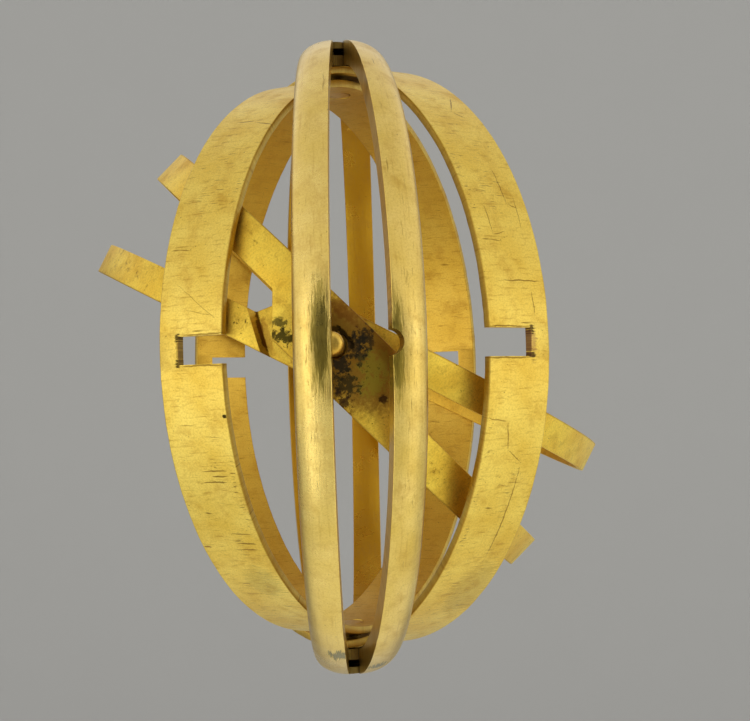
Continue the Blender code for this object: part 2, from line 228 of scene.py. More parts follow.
# %% [markdown]
# A soft box is a lamp behind a wide white cloth, and an area lamp gives the same broad light. Each one is
# written as its place, its size and its power, and is turned to face the ring.

# %% Soft boxes
SOFT_BOXES = {
    "left_soft_box": ((-0.20, -0.16, -0.06), (0.14, 0.28), 0.10),
    "right_soft_box": ((0.23, -0.11, -0.07), (0.14, 0.28), 0.066),
    "low_soft_box": ((0.02, 0.02, -0.17), (0.34, 0.30), 0.064),
}

for name, (place, size, power) in SOFT_BOXES.items():
    lamp = bpy.data.lights.new(name, "AREA")
    lamp.shape = "RECTANGLE"
    lamp.size, lamp.size_y = size
    lamp.energy = power
    soft_box = bpy.data.objects.new(name, lamp)
    soft_box.location = place
    soft_box.rotation_euler = (-Vector(place)).to_track_quat("-Z", "Y").to_euler()
    bpy.context.scene.collection.objects.link(soft_box)
print("soft boxes:", list(SOFT_BOXES))

# %% [markdown]
# ## Worn gold, worked with file and burnisher
# The hoops are gold alloy of about eighteen carat. It was drawn or rolled, filed and rubbed smooth
# by hand, then worn. Gold itself doesn't tarnish, but the copper in the alloy does, so the hollows
# of the file marks are brown and the rubbed faces are pale. All of this follows the strip, so the
# materials read a map of the flat strip, in millimetres across it and along it.

# %% Map of the flat strip
STRIP_MAP = "strip_mm"
# Inward faces carry this attribute, which takes the painted-shade amber.
INSIDE = "inside"
RIPPLES_PER_MM = 3.0
WANDER = 0.10


def strip_place(tree):
    """Place on the flat strip in millimetres, pushed about a little so that no mark has a clean edge."""
    flat = add_node(tree, "ShaderNodeUVMap", {}, uv_map=STRIP_MAP).outputs[0]
    waves = {"Vector": flat, "Scale": RIPPLES_PER_MM, "Detail": 4.0}
    ripple = add_node(tree, "ShaderNodeTexNoise", waves).outputs[1]
    centred = add_node(tree, "ShaderNodeVectorMath", {0: ripple, 1: (0.5, 0.5, 0.5)}, operation="SUBTRACT")
    pushed = {0: centred.outputs[0], 1: (WANDER, WANDER, 0.0), 2: flat}
    return flat, add_node(tree, "ShaderNodeVectorMath", pushed, operation="MULTIPLY_ADD").outputs[0]


print(f"marks on {STRIP_MAP} wander by up to {WANDER / 2:.2f} mm")

# %% [markdown]
# A file mark, a scratch, a stain, a worn spot, a painted shadow and a painted reflection are all the same
# thing to a shader: a long or round patch with its own colour. Each is written as its place on the strip,
# half its length and width, its turn, its colour and how strongly it shows. The patches are laid one over
# another. A noise tears their edges, and a strong tear with a late onset breaks a patch up into separate
# specks.

# %% Marks laid on the strip
# A manner is how strongly the noise tears a patch, and how far out the patch starts to fade.
SMOOTH = (1.0, 0.8)
SOLID = (2.2, 0.65)
BROKEN = (5.0, 0.55)
SPECKLED = (7.0, -0.75)
FADE = 0.5


def lay_marks(tree, place, torn, colour, marks, manner):
    """Lay the marks over a colour, with torn edges. Gives the new colour and how deep the marks are."""
    tear, onset = manner
    onset += tear / 2
    depth = 0.0
    for across, along, half_length, half_width, turn, tint, strength in marks:
        spot = {"Vector": place, "Location": (across, along, 0.0), "Scale": (half_length, half_width, 1.0)}
        spot["Rotation"] = (0.0, 0.0, math.radians(turn))
        near = add_node(tree, "ShaderNodeMapping", spot, vector_type="TEXTURE").outputs[0]
        away = add_node(tree, "ShaderNodeVectorMath", {0: near}, operation="LENGTH").outputs["Value"]
        frayed = {0: torn, 1: tear, 2: away}
        ragged = add_node(tree, "ShaderNodeMath", frayed, operation="MULTIPLY_ADD").outputs[0]
        fade = {0: ragged, 1: onset, 2: onset + FADE, 3: strength, 4: 0.0}
        share = add_node(tree, "ShaderNodeMapRange", fade, interpolation_type="SMOOTHSTEP").outputs[0]
        over = {0: share, 6: colour, 7: linear(tint)}
        colour = add_node(tree, "ShaderNodeMix", over, data_type="RGBA").outputs[2]
        depth = add_node(tree, "ShaderNodeMath", {0: depth, 1: share}, operation="MAXIMUM").outputs[0]
    return colour, depth


print("manners of marks:", SMOOTH, SOLID, BROKEN, SPECKLED)

# %% [markdown]
# The recipe for a finish starts with two gold tones that drift into each other every two millimetres or
# so. The inside of a hoop is painted a deeper amber, as painted shade for the gold it reflects there.

# %% Gold tones
DRIFTS_PER_MM = 0.55


def gold_tones(tree, flat, light, deep, inside):
    """Two golds that drift into each other, and the painted-shade tint of the inside. Gives the drift too.
    """
    clouds = {"Vector": flat, "Scale": DRIFTS_PER_MM, "Detail": 5.0}
    drift = add_node(tree, "ShaderNodeTexNoise", clouds).outputs[0]
    tone = add_node(tree, "ShaderNodeMapRange", {0: drift, 1: 0.36, 2: 0.66}).outputs[0]
    mixed = {0: tone, 6: linear(light), 7: linear(deep)}
    colour = add_node(tree, "ShaderNodeMix", mixed, data_type="RGBA").outputs[2]
    inside_tint, inside_share = inside
    inner = add_node(tree, "ShaderNodeAttribute", {}, attribute_name=INSIDE).outputs["Fac"]
    # Painted shade: faces that look inwards take the deeper amber tint.
    shaded_inside_inputs = {0: inner, 1: inside_share}
    shaded_inside_share = add_node(tree, "ShaderNodeMath", shaded_inside_inputs, operation="MULTIPLY").outputs[0]
    ambered = {0: shaded_inside_share, 6: colour, 7: linear(inside_tint)}
    return add_node(tree, "ShaderNodeMix", ambered, data_type="RGBA").outputs[2], drift


print(f"tones drift over about {1 / DRIFTS_PER_MM:.1f} mm")

# %% [markdown]
# Fine lines run one way, along the hoop where it was burnished or across it where it was filed. Real
# ones lie a few hundredths of a millimetre apart. Here it is about a tenth, so that they show. The grain
# between them is about 0.07 mm.

# %% Grain and lines
GRAINS_PER_MM = 15.0


def grain_and_lines(tree, flat, place, lines):
    """Shares of the rubbed grain, the fine lines and the deep cuts, and the height of the lines."""
    per_across, per_along, line_share = lines
    speck = {"Vector": flat, "Scale": GRAINS_PER_MM, "Detail": 6.0, "Roughness": 0.75}
    grain = add_node(tree, "ShaderNodeTexNoise", speck).outputs[0]
    rubbed = add_node(tree, "ShaderNodeMapRange", {0: grain, 1: 0.46, 2: 0.74, 4: 0.55}).outputs[0]
    drawn = {"Vector": place, "Scale": (per_across, per_along, 1.0)}
    combed = add_node(tree, "ShaderNodeMapping", drawn, vector_type="POINT").outputs[0]
    comb = {"Vector": combed, "Scale": 1.0, "Detail": 5.0, "Roughness": 0.68}
    line = add_node(tree, "ShaderNodeTexNoise", comb).outputs[0]
    cut = add_node(tree, "ShaderNodeMapRange", {0: line, 1: 0.55, 2: 0.72, 4: line_share}).outputs[0]
    stroke = {"Vector": combed, "Scale": 0.8, "Detail": 2.0, "Roughness": 0.55}
    bite = add_node(tree, "ShaderNodeTexNoise", stroke, noise_dimensions="4D").outputs[0]
    deep_cut = add_node(tree, "ShaderNodeMapRange", {0: bite, 1: 0.66, 2: 0.72, 4: line_share}).outputs[0]
    return rubbed, cut, deep_cut, line


print(f"grain of about {1 / GRAINS_PER_MM:.2f} mm")

# %% [markdown]
# Brown stain lies in patches of about a millimetre. The strip's outermost edges are painted a little
# darker, and pits of about a tenth of a millimetre are nearly black.

# %% Stain, edges and pits
STAINS_PER_MM = 1.1
PITS_PER_MM = 9.0
EDGE_DARKENING = (1.16, 1.21)


def stain_edge_and_pits(tree, flat, place, stain_share, pits):
    """Shares of the stain, of the darker edge and of the pits."""
    cloud = {"Vector": place, "Scale": STAINS_PER_MM, "Detail": 9.0, "Roughness": 0.72}
    patch = add_node(tree, "ShaderNodeTexNoise", cloud, noise_dimensions="2D").outputs[0]
    stained = add_node(tree, "ShaderNodeMapRange", {0: patch, 1: 0.50, 2: 0.74, 4: stain_share}).outputs[0]
    across = add_node(tree, "ShaderNodeSeparateXYZ", {0: flat}).outputs["X"]
    outward = add_node(tree, "ShaderNodeMath", {0: across}, operation="ABSOLUTE").outputs[0]
    # The last few hundredths of a millimetre at each edge are painted darker.
    edge_darkening_range = {0: outward, 1: EDGE_DARKENING[0], 2: EDGE_DARKENING[1], 4: 0.6}
    edge = add_node(tree, "ShaderNodeMapRange", edge_darkening_range).outputs[0]
    holes = {"Vector": place, "Scale": PITS_PER_MM, "Detail": 2.0}
    grains = add_node(tree, "ShaderNodeTexNoise", holes).outputs[0]
    pit = add_node(tree, "ShaderNodeMapRange", {0: grains, 1: 0.70, 2: 0.76, 4: pits}).outputs[0]
    return stained, edge, pit


print(f"stains of about {1 / STAINS_PER_MM:.1f} mm, pits of about {1 / PITS_PER_MM:.2f} mm")

# %% [markdown]
# The finish of one hoop lays all of these over each other, and the marks of that one hoop come last. The
# noise that tears the marks is drawn out the same way as the lines. Lines, pits and marks also press
# into the surface by about a hundredth of a millimetre, and stain makes it rougher.

# %% Finish of one hoop
CUT_BROWN = "#6E5018"
PIT_BROWN = "#3A2A10"
TEARS_PER_MM = 5.0
PRESS_DEPTH = 0.02 * MM


def worked_gold(name, light, deep, inside, lines, line_tint, stain, pits, rough, marks):
    """Gold alloy worked by hand.

    Lines give how many lie to a millimetre across and along the strip, and the share that shows.
    Inside and stain give a colour and a share, and the inside colour is painted shade. Pits give a share.
    Marks are listed by their manner.
    """
    material = bpy.data.materials.new(name)
    material.use_nodes = True
    tree = material.node_tree
    shader = tree.nodes["Principled BSDF"]
    shader.inputs["Metallic"].default_value = 1.0
    flat, place = strip_place(tree)
    stain_tint, stain_share = stain
    colour, drift = gold_tones(tree, flat, light, deep, inside)
    rubbed, cut, deep_cut, line = grain_and_lines(tree, flat, place, lines)
    stained, edge, pit = stain_edge_and_pits(tree, flat, place, stain_share, pits)
    layers = [(rubbed, line_tint), (cut, line_tint), (deep_cut, CUT_BROWN), (stained, stain_tint)]
    layers += [(edge, line_tint), (pit, PIT_BROWN)]
    for share, tint in layers:
        over = {0: share, 6: colour, 7: linear(tint)}
        colour = add_node(tree, "ShaderNodeMix", over, data_type="RGBA").outputs[2]

    per_across, per_along, _ = lines
    even = math.sqrt(per_across * per_along) / TEARS_PER_MM
    torn_way = {"Vector": place, "Scale": (per_across / even, per_along / even, 1.0)}
    fibre = add_node(tree, "ShaderNodeMapping", torn_way, vector_type="POINT").outputs[0]
    crumb = {"Vector": fibre, "Scale": 1.0, "Detail": 8.0, "Roughness": 0.7}
    torn = add_node(tree, "ShaderNodeTexNoise", crumb).outputs[0]
    dented = 0.0
    for manner, patches in marks.items():
        colour, depth = lay_marks(tree, place, torn, colour, patches, manner)
        dented = add_node(tree, "ShaderNodeMath", {0: dented, 1: depth}, operation="MAXIMUM").outputs[0]
    tree.links.new(colour, shader.inputs["Base Color"])

    roughness = rough
    for layer, gain in ((stained, 0.25), (drift, 0.12)):
        rougher = {0: layer, 1: gain, 2: roughness}
        roughness = add_node(tree, "ShaderNodeMath", rougher, operation="MULTIPLY_ADD").outputs[0]
    tree.links.new(roughness, shader.inputs["Roughness"])

    relief = 0.0
    for layer, sunk in ((line, 0.9), (deep_cut, 0.5), (pit, 0.6), (dented, 0.5)):
        lowered = {0: layer, 1: -sunk, 2: relief}
        relief = add_node(tree, "ShaderNodeMath", lowered, operation="MULTIPLY_ADD").outputs[0]
    press = {"Height": relief, "Strength": 0.55, "Distance": PRESS_DEPTH}
    tree.links.new(add_node(tree, "ShaderNodeBump", press).outputs[0], shader.inputs["Normal"])
    print(f"{name}: {len(tree.nodes)} nodes, {sum(len(patches) for patches in marks.values())} marks")
    return material


print("cuts are", CUT_BROWN, "and pits", PIT_BROWN)

# %% [markdown]
# ## Sizes shared by the hoops
# These are the sizes of the CAD model. The two outer hoops have a half-round section, and each is
# only half as wide as the closed ring. Inside them lie two full-width bands, and inside those the
# two slim hoops that turn on the front and back pins.

# %% Sizes from the CAD model
RING_RADIUS = 12.0 * MM
HALF_WIDTH = 1.225 * MM
BORE = 11.1 * MM
CROWN_RISE = 0.72 * MM
LAP_RADIUS = 1.9 * MM
LAP_HEIGHT = 11.57 * MM
LAP_PLAY = 0.03 * MM
BEYOND = 15.0 * MM
OUTER_BAND_RADIUS = 10.992 * MM
INNER_BAND_RADIUS = 10.4907 * MM
BAND_THICKNESS = 0.28 * MM
SLIM_RADIUS = 10.0967 * MM
SLIM_THICKNESS = 0.25 * MM
JOGGLED_EAR_RADIUS = 9.7299 * MM
SWING_OPEN = 8.7
OUTER_BAND_OPEN = 32.7
INNER_BAND_OPEN = -26.3
JOGGLED_OPEN = -62.2
EARED_OPEN = -44.5
RING_STEPS = 288
print(f"closed ring {2 * RING_RADIUS / MM:.0f} mm across, {2 * HALF_WIDTH / MM:.2f} mm wide")

# %% [markdown]
# ## From a bmesh to a finished piece
# Each hoop is shaped closed, in the plane of Y and Z, where its strip map is easy to write: across
# is X, and along is the angle times the radius. Only then is it turned open about its own axis. The
# mesh holds the place, so every object stays at the origin and its patterns can't slide.

# %% Finish a piece
SHARP = math.radians(50.0)
INWARDS = -0.6


def write_strip_map(bm, radius):
    """Lay a hoop out flat, in millimetres: the front at 0, the top a quarter on, the cut at the bottom.

    Faces that look inwards are noted as well, for the painted shade of the inside.
    """
    layer = bm.loops.layers.uv.new(STRIP_MAP)
    inside = bm.faces.layers.float.new(INSIDE)
    bm.normal_update()
    for face in bm.faces:
        middle = face.calc_center_median()
        outwards = Vector((0.0, middle.y, middle.z)).normalized()
        face[inside] = 1.0 if face.normal.dot(outwards) < INWARDS else 0.0
        centre = (math.atan2(middle.z, -middle.y) + math.pi / 2) % math.tau - math.pi / 2
        for loop in face.loops:
            turn = math.atan2(loop.vert.co.z, -loop.vert.co.y) - centre
            turn = (turn + math.pi) % math.tau - math.pi
            loop[layer].uv = (loop.vert.co.x / MM, (centre + turn) * radius / MM)


def finish_piece(bm, name, radius, axis, degrees, body, node, material):
    """Turn a closed hoop open and make it a piece that rides on its body and stands for its node."""
    write_strip_map(bm, radius)
    turn = Matrix.Rotation(math.radians(degrees), 3, axis)
    bmesh.ops.rotate(bm, cent=(0.0, 0.0, 0.0), matrix=turn, verts=bm.verts)
    mesh = bpy.data.meshes.new(name)
    bm.to_mesh(mesh)
    bm.free()
    mesh.shade_smooth()
    mesh.set_sharp_from_angle(angle=SHARP)
    mesh.materials.append(material)
    piece = bpy.data.objects.new(name, mesh)
    bpy.context.scene.collection.objects.link(piece)
    even = piece.modifiers.new("Even shading", "WEIGHTED_NORMAL")
    even.keep_sharp = True
    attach(piece, body)
    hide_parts(node)
    print(f"{name}: {len(mesh.polygons)} faces, rides on {body}")
    return piece


print(f"edges over {math.degrees(SHARP):.0f} degrees stay sharp")

# %% [markdown]
# ## Turning and cutting
# A ring, a rivet and a drill are all turned shapes: a profile spun once round an axis. A cut is a
# Boolean, and its result is read back into a bmesh so that edges can be softened afterwards.

# %% Turned shapes
WELD = 1e-8


def spin_ring(section, steps):
    """A closed section of (across, radius) points spun about X into a ring."""
    bm = bmesh.new()
    verts = [bm.verts.new((across, 0.0, -radius)) for across, radius in section]
    edges = [bm.edges.new((vert, verts[place - 1])) for place, vert in enumerate(verts)]
    turn = {"cent": (0.0, 0.0, 0.0), "axis": (1.0, 0.0, 0.0), "angle": math.tau}
    bmesh.ops.spin(bm, geom=[*verts, *edges], steps=steps, use_merge=True, **turn)
    bmesh.ops.remove_doubles(bm, verts=bm.verts, dist=WELD)
    bmesh.ops.recalc_face_normals(bm, faces=bm.faces)
    return bm


def spin_rod(profile, steps, turn_over=False, along_y=False):
    """A profile of (radius, height) points, from axis to axis, spun about Z into a solid."""
    bm = bmesh.new()
    verts = [bm.verts.new((radius, 0.0, height)) for radius, height in profile]
    edges = [bm.edges.new(pair) for pair in zip(verts, verts[1:])]
    bmesh.ops.rotate(bm, matrix=Matrix.Rotation(math.pi / steps, 3, "Z"), verts=verts)
    turn = {"cent": (0.0, 0.0, 0.0), "axis": (0.0, 0.0, 1.0), "angle": math.tau}
    bmesh.ops.spin(bm, geom=[*verts, *edges], steps=steps, use_merge=True, **turn)
    bmesh.ops.remove_doubles(bm, verts=bm.verts, dist=WELD)
    bmesh.ops.recalc_face_normals(bm, faces=bm.faces)
    tilt = math.pi * turn_over + math.pi / 2 * along_y
    bmesh.ops.rotate(bm, matrix=Matrix.Rotation(tilt, 3, "X"), verts=bm.verts)
    return bm


def plain_rod(radius, reach):
    """Profile of a straight rod that reaches as far up as down, as (radius, height) points."""
    return [(0.0, -reach), (radius, -reach), (radius, reach), (0.0, reach)]


print(f"points closer than {WELD / MM:.0e} mm are welded")

# %% [markdown]
# To cut, the blank and its cutters are put on the bench as passing objects. A Boolean modifier for each
# cutter does the work, and the bench is cleared again.

# %% Cuts
CUT_WELD = 1e-7


def block(low, high):
    """A plain block between two corners, to cut with."""
    bm = bmesh.new()
    bmesh.ops.create_cube(bm, size=1.0)
    size = Vector(high) - Vector(low)
    bmesh.ops.scale(bm, vec=size, verts=bm.verts)
    bmesh.ops.translate(bm, vec=Vector(low) + size / 2, verts=bm.verts)
    return bm


def bench_object(bm, name):
    """A passing object, to cut or to cut with."""
    mesh = bpy.data.meshes.new(name)
    bm.to_mesh(mesh)
    bm.free()
    obj = bpy.data.objects.new(name, mesh)
    bpy.context.scene.collection.objects.link(obj)
    return obj


def cut_away(bm, cutters):
    """Cut each cutter out of a solid and read the result back."""
    blank = bench_object(bm, "blank")
    tools = [bench_object(cutter, "cutter") for cutter in cutters]
    for tool in tools:
        boolean = blank.modifiers.new("Cut", "BOOLEAN")
        boolean.operation = "DIFFERENCE"
        boolean.object = tool
    depsgraph = bpy.context.evaluated_depsgraph_get()
    mesh = bpy.data.meshes.new_from_object(blank.evaluated_get(depsgraph))
    result = bmesh.new()
    result.from_mesh(mesh)
    bpy.data.meshes.remove(mesh)
    for obj in (blank, *tools):
        bpy.data.meshes.remove(obj.data)
    bmesh.ops.remove_doubles(result, verts=result.verts, dist=CUT_WELD)
    return result


print("bench tools: ring, rod, block and cut")

# %% [markdown]
# ## The two half-round hoops
# Closed, the two outer hoops look like one half-round ring. Each is the left half of that ring at
# the front and the right half at the back, or the other way round, so they cross at the poles. There
# they are halved into each other, one lap over the other, and a rivet holds them. So the ring is
# spun whole and cut like the real ones: a quarter off the front, a quarter off the back, and a
# step at each pole.

# %% Half-round section and its cuts
CROWN_STEPS = 28
FACET = RING_RADIUS - 0.10 * MM
FACET_BLEND = 0.06 * MM
LAP_STEPS = 96


def half_round_section():
    """Flat inside and half an ellipse outside, as (across, radius) points."""
    points = [(-HALF_WIDTH, BORE), (HALF_WIDTH, BORE)]
    for step in range(CROWN_STEPS + 1):
        angle = math.pi * step / CROWN_STEPS
        rise = CROWN_RISE * math.sin(angle)
        points.append((HALF_WIDTH * math.cos(angle), RING_RADIUS - CROWN_RISE + rise))
    return points


def lap_core():
    """The round core at the poles that the quarter cuts leave standing."""
    return spin_rod(plain_rod(LAP_RADIUS - LAP_PLAY, 2 * BEYOND), LAP_STEPS)


def half_round_cutters(side, edge_gap):
    """What takes a half-round ring down to one hoop. Side is -1 where its front half is on the left."""
    cutters = []
    for facing in (-1, 1):
        away = side * facing
        left, right = sorted((-edge_gap * away, BEYOND * away))
        front, back = sorted((0.0, BEYOND * facing))
        cutters.append(cut_away(block((left, front, -BEYOND), (right, back, BEYOND)), [lap_core()]))
    return cutters


def half_round_ring():
    """The whole half-round ring, rubbed down to a soft facet at the front and at the back."""
    bm = spin_ring(half_round_section(), RING_STEPS)
    for vert in bm.verts:
        reach = abs(vert.co.y)
        rubbed = (reach + FACET - math.hypot(reach - FACET, FACET_BLEND)) / 2
        vert.co.y = math.copysign(rubbed, vert.co.y)
    return bm


print(len(half_round_section()), "points in the half-round section")

# %% [markdown]
# The long edges are softened by a hair, because worn metal has no sharp edge and a softened one catches
# the light. A bevel does it. It leaves out the poles and the pins, where the pieces fit closely.

# %% Soft edges
SOFT_EDGE = 0.04 * MM
SOFT_ANGLE = math.radians(55)
POLE_ZONE = 9.9 * MM
PIN_ZONE = 0.75 * MM


def soften(bm, width, low_angle, chosen):
    """Round the sharp edges that are chosen by the place of their middle."""
    edges = []
    for edge in bm.edges:
        middle = (edge.verts[0].co + edge.verts[1].co) / 2
        if len(edge.link_faces) == 2 and edge.calc_face_angle() > low_angle and chosen(middle):
            edges.append(edge)
    bmesh.ops.bevel(bm, geom=edges, offset=width, segments=3, profile=0.5, affect="EDGES", material=-1)
    return len(edges)


def long_run(middle):
    """True on the long edges of a half-round hoop, away from the poles and the pins."""
    return abs(middle.z) < POLE_ZONE and math.hypot(middle.x, middle.z) > PIN_ZONE


print(f"long edges are rounded by {SOFT_EDGE / MM:.2f} mm")

# %% [markdown]
# The fixed hoop carries the rivets and the pins. Its marks are a painted dark olive reflection on the worn
# facet at the front, broken into fine streaks, and painted brown shade where the laps meet at the poles.

# %% Fixed hoop
FIXED_EDGE_GAP = 0.02 * MM
# Painted dark reflection on the front facet: its streaks and its olive patch.
FACET_REFLECTION_STREAK = "#4A4620"
FACET_DARK_REFLECTION = "#7E6E20"
# Painted brown shade where the laps of the two hoops meet at the poles.
LAP_SHADE = "#4E3218"
fixed_marks = {
    SMOOTH: [
        # Painted shade at the laps, near the top and bottom poles.
        (0.1, 17.4, 0.55, 0.8, 0, LAP_SHADE, 0.75),
        (0.1, -17.4, 0.55, 0.8, 0, LAP_SHADE, 0.75),
    ],
    BROKEN: [
        (-0.28, -12.80, 0.36, 0.42, 0, "#5A5C3E", 0.8),
    ],
    SPECKLED: [
        (-0.60, 0.0, 0.7, 16.0, 0, "#8E7030", 0.45),
        # Painted dark reflection on the front facet, broken into streaks.
        (-0.32, 0.10, 0.40, 2.2, 0, FACET_REFLECTION_STREAK, 0.5),
    ],
    SOLID: [
        # Painted dark olive reflection on the front facet.
        (-0.34, 0.20, 0.30, 1.9, 0, FACET_DARK_REFLECTION, 0.7),
    ],
}
# Half-round gold wire, burnished along its length: a satin glow with soft lines.
burnished_fixed = worked_gold(
    "burnished_half_round_gold_fixed", "#E9CD78", "#DEBF62", ("#C09016", 0.93),
    (9.0, 0.55, 0.45), "#B48E44", ("#B08434", 0.4), 0.5, 0.22, fixed_marks,
)
rim = LAP_RADIUS + LAP_PLAY
under_lap = spin_rod(plain_rod(rim, LAP_HEIGHT + LAP_PLAY), LAP_STEPS)
bm = cut_away(half_round_ring(), [*half_round_cutters(-1, FIXED_EDGE_GAP), under_lap])
rounded = soften(bm, SOFT_EDGE, SOFT_ANGLE, long_run)
finish_piece(
    bm, "fixed_hoop", RING_RADIUS, "Z", 0.0, "frame", "frame_hoop", burnished_fixed
)
print(f"softened {rounded} edges")

# %% [markdown]
# The swinging hoop is the other half. Its laps lie under those of the fixed hoop, so they are cut
# from above, with a bevelled rim that runs clear when the hoop turns. It also has a hole for each
# rivet, and a round notch in its edge where it closes against the pins.

# %% Swinging hoop
SWINGING_EDGE_GAP = 0.05 * MM
LAP_BEVEL_REACH = 0.45 * MM
LAP_BEVEL_DEPTH = 0.24 * MM
RIVET_HOLE = 0.40 * MM
PIN_NOTCH = 0.41 * MM
HOLE_STEPS = 48
swinging_marks = {
    SMOOTH: [
        # Painted shade at the laps, near the top and bottom poles.
        (0.1, 17.4, 0.55, 0.8, 0, LAP_SHADE, 0.85),
        (0.1, -17.4, 0.55, 0.8, 0, LAP_SHADE, 0.85),
    ],
    BROKEN: [
        (0.40, -14.40, 0.34, 0.45, 0, "#5A5C3E", 0.8),
    ],
    SPECKLED: [
        (0.60, 0.0, 0.7, 16.0, 0, "#8E7030", 0.5),
        # Painted dark reflection on the front facet, broken into streaks.
        (0.22, -0.20, 0.30, 2.0, 0, FACET_REFLECTION_STREAK, 0.5),
    ],
    SOLID: [
        # Painted dark olive reflection on the front facet.
        (0.21, -0.25, 0.20, 1.7, 0, FACET_DARK_REFLECTION, 0.75),
    ],
}
# The same wire as the fixed hoop's, a little more worn and a little duller.
burnished_swinging = worked_gold(
    "burnished_half_round_gold_swinging", "#E5C872", "#D8B85A", ("#C09016", 0.93),
    (9.0, 0.55, 0.5), "#B08A40", ("#AC8030", 0.45), 0.5, 0.24, swinging_marks,
)
lap_top = LAP_HEIGHT - LAP_PLAY
over_lap = [(0.0, BEYOND), (rim, BEYOND), (rim, lap_top - LAP_BEVEL_DEPTH)]
over_lap += [(LAP_RADIUS - LAP_BEVEL_REACH, lap_top), (0.0, lap_top)]
cutters = half_round_cutters(1, SWINGING_EDGE_GAP)
cutters += [spin_rod(over_lap, LAP_STEPS), spin_rod(over_lap, LAP_STEPS, turn_over=True)]
cutters += [spin_rod(plain_rod(RIVET_HOLE, BEYOND), HOLE_STEPS)]
cutters += [spin_rod(plain_rod(PIN_NOTCH, BEYOND), HOLE_STEPS, along_y=True)]
bm = cut_away(half_round_ring(), cutters)
rounded = soften(bm, SOFT_EDGE, SOFT_ANGLE, long_run)
finish_piece(
    bm, "swinging_hoop", RING_RADIUS, "Z", SWING_OPEN,
    "swing", "swing_hoop", burnished_swinging,
)
print(f"softened {rounded} edges")

# %% [markdown]
# ## The two wide bands
# Each band is a strip as wide as the whole closed ring, bent round and soldered. A notch is sawn into
# it at the front and at the back, so that it can close over the pins. The strip's section is spun,
# with its corners already rounded. Strip that was cut with shears is never quite even, so a slow noise
# moves its edges in by a few hundredths of a millimetre.

# %% Rounded, uneven strip
EDGE_ROUND = 0.035 * MM
UNEVEN = 0.035 * MM
SLOW_WAVES = 9.0
QUICK_WAVES = 40.0
EDGES_APART = 7.0


def strip_section(radius, thickness):
    """Rectangle across the strip with rounded corners, as (across, radius) points."""
    bm = bmesh.new()
    corners = ((-1, -1), (1, -1), (1, 0), (-1, 0))
    places = [(side * HALF_WIDTH, radius + level * thickness, 0.0) for side, level in corners]
    bm.faces.new([bm.verts.new(place) for place in places])
    round_off = {"offset": EDGE_ROUND, "segments": 2, "profile": 0.5, "material": -1}
    bmesh.ops.bevel(bm, geom=bm.verts, affect="VERTICES", **round_off)
    points = [(vert.co.x, vert.co.y) for vert in bm.faces[:][0].verts]
    bm.free()
    return points


def make_uneven(bm, seed):
    """Move the edges of a strip in and out by a slow noise, never out of the drawn width."""
    for vert in bm.verts:
        angle = math.atan2(vert.co.z, -vert.co.y)
        place = Vector((math.cos(angle), math.sin(angle), seed))
        other = Vector((math.copysign(EDGES_APART, vert.co.x), 0.0, 0.0))
        slow = noise.noise(place * SLOW_WAVES + other)
        quick = noise.noise(place * QUICK_WAVES + other)
        trim = UNEVEN * (0.5 + 0.35 * slow + 0.35 * quick)
        vert.co.x *= 1.0 - max(trim, 0.0) / HALF_WIDTH


print(f"strip edges wander by up to {UNEVEN / MM:.3f} mm")

# %% [markdown]
# Each notch is a block taken out of the strip, from one edge at the front and from the other at the back.
# The rivet holes are drilled from outside and widened inside, where the rivet's tail is spread.

# %% Notches and rivet holes
NOTCH = 0.46 * MM
COUNTERSINK = 0.55 * MM
COUNTERSINK_DEPTH = 0.20 * MM
DRILL_PAST = 0.3 * MM


def wide_band(radius, side, seed):
    """Band whose front notch opens to the left, or to the right for side -1."""
    bm = spin_ring(strip_section(radius, BAND_THICKNESS), RING_STEPS)
    make_uneven(bm, seed)
    cutters = []
    for facing in (-1, 1):
        left, right = sorted((side * facing * BEYOND, -side * facing * NOTCH))
        front, back = sorted((0.0, facing * BEYOND))
        cutters.append(block((left, front, -NOTCH), (right, back, NOTCH)))
    bore = INNER_BAND_RADIUS - BAND_THICKNESS
    drill = [(0.0, BEYOND), (RIVET_HOLE, BEYOND), (RIVET_HOLE, bore + COUNTERSINK_DEPTH)]
    drill += [(COUNTERSINK, bore), (COUNTERSINK, bore - DRILL_PAST), (0.0, bore - DRILL_PAST)]
    cutters += [spin_rod(drill, HOLE_STEPS), spin_rod(drill, HOLE_STEPS, turn_over=True)]
    return cut_away(bm, cutters)


print(f"notches {2 * NOTCH / MM:.2f} mm high")
